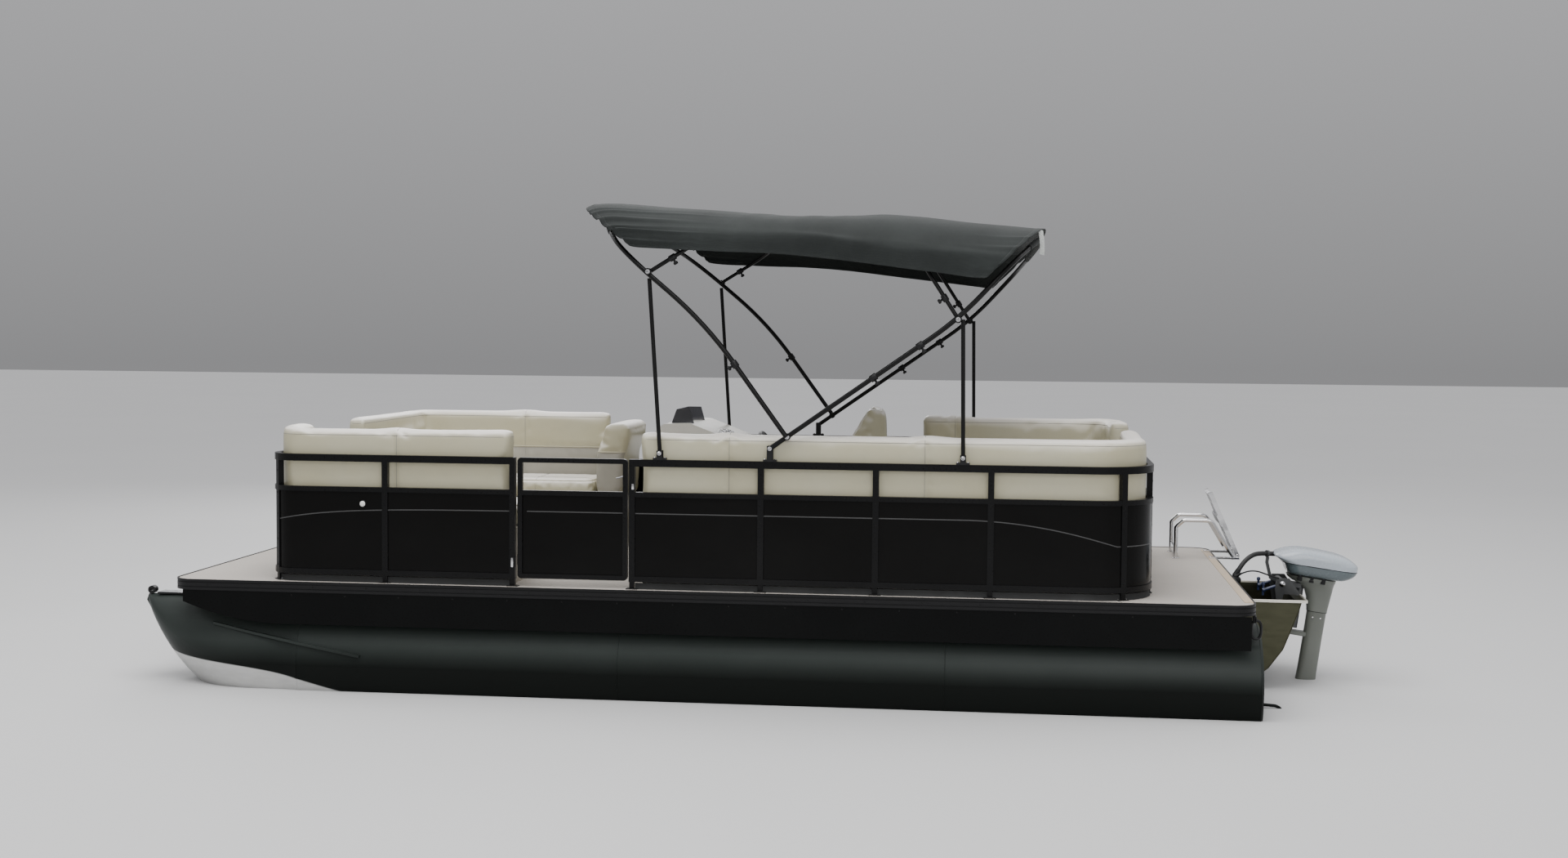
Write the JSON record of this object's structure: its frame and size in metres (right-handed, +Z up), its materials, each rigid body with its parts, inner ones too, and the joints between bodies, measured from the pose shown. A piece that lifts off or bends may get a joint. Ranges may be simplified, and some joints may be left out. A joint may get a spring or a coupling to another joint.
{
  "type": "pontoon boat",
  "caption": "Two-tube pontoon boat afloat, with fenced deck, gates, lounges, helm, folding fabric top, stern ladder and outboard motor.",
  "frame": {"origin": "on the centreline at the waterline, midway along the deck", "axes": "+X forward to the bow, +Y to port, +Z up"},
  "size_m": [6.7705, 2.618, 3.1902],
  "materials": {
    "pontoon_paint": "gloss",
    "bare_aluminium": "satin",
    "deck_vinyl": "matte",
    "trim_black": "satin",
    "skirt_black": "gloss",
    "fence_black": "gloss",
    "panel_gloss": "gloss",
    "seat_vinyl": "satin",
    "seat_base": "matte",
    "console_plastic": "satin",
    "smoked_acrylic": "gloss",
    "bow_black": "satin",
    "black_plastic": "matte",
    "canopy_fabric": "matte",
    "motor_white": "gloss",
    "motor_grey": "satin",
    "engine_iron": "matte",
    "stainless": "polished",
    "hose_rubber": "matte"
  },
  "bodies": {
    "hull": {"pontoon_port": "pontoon_paint", "pontoon_starboard": "pontoon_paint", "nose_fittings": "black_plastic", "crossbeams": "bare_aluminium", "deck": "deck_vinyl", "deck_trim": "trim_black", "side_skirts": "skirt_black", "motor_pod": "bare_aluminium", "fence_posts": "fence_black", "fence_rails_port_bow": "fence_black", "fence_rails_port_aft": "fence_black", "fence_rails_starboard": "fence_black", "fence_panels": "panel_gloss", "helm_console": "console_plastic", "helm_windscreen": "smoked_acrylic", "chair_pedestal": "bare_aluminium", "bimini_rear_bow": "bow_black", "bimini_brackets": "black_plastic", "bimini_canopy": "canopy_fabric", "motor_clamp_bracket": "motor_grey", "ladder_handrails": "stainless", "rigging_hose": "hose_rubber", "control_cable": "hose_rubber", "deck_fittings": "black_plastic", "port_bow_bench_base": "seat_base", "port_bow_bench_back": "seat_vinyl", "port_bow_bench_seat": "seat_vinyl", "port_aft_lounge_base": "seat_base", "port_aft_lounge_back": "seat_vinyl", "port_aft_lounge_seat": "seat_vinyl", "starboard_bow_lounge_base": "seat_base", "starboard_bow_lounge_back": "seat_vinyl", "starboard_bow_lounge_seat": "seat_vinyl", "starboard_aft_bench_base": "seat_base", "starboard_aft_bench_back": "seat_vinyl", "starboard_aft_bench_seat": "seat_vinyl"},
    "port_gate": {"gate_frame_port": "fence_black", "gate_panel_port": "panel_gloss"},
    "bow_gate": {"gate_frame_bow": "fence_black", "gate_panel_bow": "panel_gloss"},
    "stern_gate": {"gate_frame_stern": "fence_black", "gate_panel_stern": "panel_gloss"},
    "port_bow_lid": {"port_bow_bench_lid": "seat_vinyl"},
    "port_aft_lid": {"port_aft_lounge_lid": "seat_vinyl"},
    "starboard_bow_lid": {"starboard_bow_lounge_lid": "seat_vinyl"},
    "starboard_aft_lid": {"starboard_aft_bench_lid": "seat_vinyl"},
    "wheel": {"steering_wheel": "black_plastic"},
    "chair": {"helm_chair": "seat_vinyl"},
    "motor_swivel": {"motor_swivel_bracket": "motor_grey"},
    "motor": {"motor_cowl": "motor_white", "motor_leg": "motor_grey", "motor_engine_block": "engine_iron", "rigging_hose_end": "hose_rubber"},
    "prop": {"propeller": "motor_grey"},
    "ladder": {"ladder_upper": "stainless"},
    "ladder_slide": {"ladder_lower": "stainless"},
    "bimini_front": {"bimini_front_bow": "bow_black"},
    "bimini_second": {"bimini_second_bow": "bow_black"},
    "bimini_third": {"bimini_third_bow": "bow_black"},
    "bimini_struts": {"bimini_front_struts": "bow_black"}
  },
  "joints": [
    {"name": "port_gate_hinge", "type": "hinge", "parent": "hull", "child": "port_gate", "pos_m": [0.975, 1.203, 0.95], "axis": [0, 0, 1], "range_deg": [0, 90]},
    {"name": "bow_gate_hinge", "type": "hinge", "parent": "hull", "child": "bow_gate", "pos_m": [2.347, 0.14, 0.95], "axis": [0, 0, 1], "range_deg": [0, 90]},
    {"name": "stern_gate_hinge", "type": "hinge", "parent": "hull", "child": "stern_gate", "pos_m": [-2.362, -0.45, 0.95], "axis": [0, 0, -1], "range_deg": [0, 90]},
    {"name": "port_bow_lid_hinge", "type": "hinge", "parent": "hull", "child": "port_bow_lid", "pos_m": [1.36, 1.066, 1.015], "axis": [-1, 0, 0], "range_deg": [0, 75]},
    {"name": "port_aft_lid_hinge", "type": "hinge", "parent": "hull", "child": "port_aft_lid", "pos_m": [-0.94, 1.066, 1.015], "axis": [-1, 0, 0], "range_deg": [0, 75]},
    {"name": "starboard_bow_lid_hinge", "type": "hinge", "parent": "hull", "child": "starboard_bow_lid", "pos_m": [1.35, -1.066, 1.015], "axis": [1, 0, 0], "range_deg": [0, 75]},
    {"name": "starboard_aft_lid_hinge", "type": "hinge", "parent": "hull", "child": "starboard_aft_lid", "pos_m": [-1.55, -1.066, 1.015], "axis": [1, 0, 0], "range_deg": [0, 75]},
    {"name": "motor_tilt", "type": "hinge", "parent": "hull", "child": "motor_swivel", "pos_m": [-3.19, 0, 0.56], "axis": [0, 1, 0], "range_deg": [0, 68], "deforming": ["rigging_hose"]},
    {"name": "motor_steer", "type": "hinge", "parent": "motor_swivel", "child": "motor", "pos_m": [-3.30691, 0, 0.54399], "axis": [-0.1357, 0, 0.9907], "range_deg": [-30, 30], "deforming": ["rigging_hose_end"]},
    {"name": "prop_spin", "type": "hinge", "parent": "motor", "child": "prop", "pos_m": [-3.47208, 0, -0.38704], "axis": [0.9907, 0, 0.1357], "continuous": true},
    {"name": "wheel_turn", "type": "hinge", "parent": "hull", "child": "wheel", "pos_m": [-0.165, -0.72, 1.185], "axis": [-0.848, 0, 0.5299], "range_deg": [-540, 540]},
    {"name": "chair_swivel", "type": "hinge", "parent": "hull", "child": "chair", "pos_m": [-0.62, -0.7, 0.947], "axis": [0, 0, 1], "continuous": true},
    {"name": "ladder_fold", "type": "hinge", "parent": "hull", "child": "ladder", "pos_m": [-3.035, -0.875, 0.615], "axis": [0, -1, 0], "range_deg": [0, 203]},
    {"name": "ladder_extend", "type": "slide", "parent": "ladder", "child": "ladder_slide", "axis": [0.3987, 0, 0.9171], "range_m": [0, 0.3]},
    {"name": "bimini_fold", "type": "hinge", "parent": "hull", "child": "bimini_front", "pos_m": [-0.476, 0, 1.422], "axis": [0, -1, 0], "range_deg": [0, 75], "deforming": ["bimini_canopy"]},
    {"name": "bimini_second_fold", "type": "hinge", "parent": "bimini_front", "child": "bimini_second", "pos_m": [0.265, 0, 2.284], "axis": [0, -1, 0], "range_deg": [-93.5, 0]},
    {"name": "bimini_third_fold", "type": "hinge", "parent": "hull", "child": "bimini_third", "pos_m": [-1.366, 0, 2.045], "axis": [0, -1, 0], "range_deg": [0, 68]},
    {"name": "bimini_strut_fold", "type": "hinge", "parent": "hull", "child": "bimini_struts", "pos_m": [0.204, 0, 1.325], "axis": [0, -1, 0], "range_deg": [-82, 0]}
  ],
  "couplings": [
    {"joint": "wheel_turn", "follows": "motor_steer", "ratio": -18},
    {"joint": "bimini_second_fold", "follows": "bimini_fold", "ratio": -1.2467},
    {"joint": "bimini_third_fold", "follows": "bimini_fold", "ratio": 0.90667},
    {"joint": "bimini_strut_fold", "follows": "bimini_fold", "ratio": -1.0933}
  ]
}
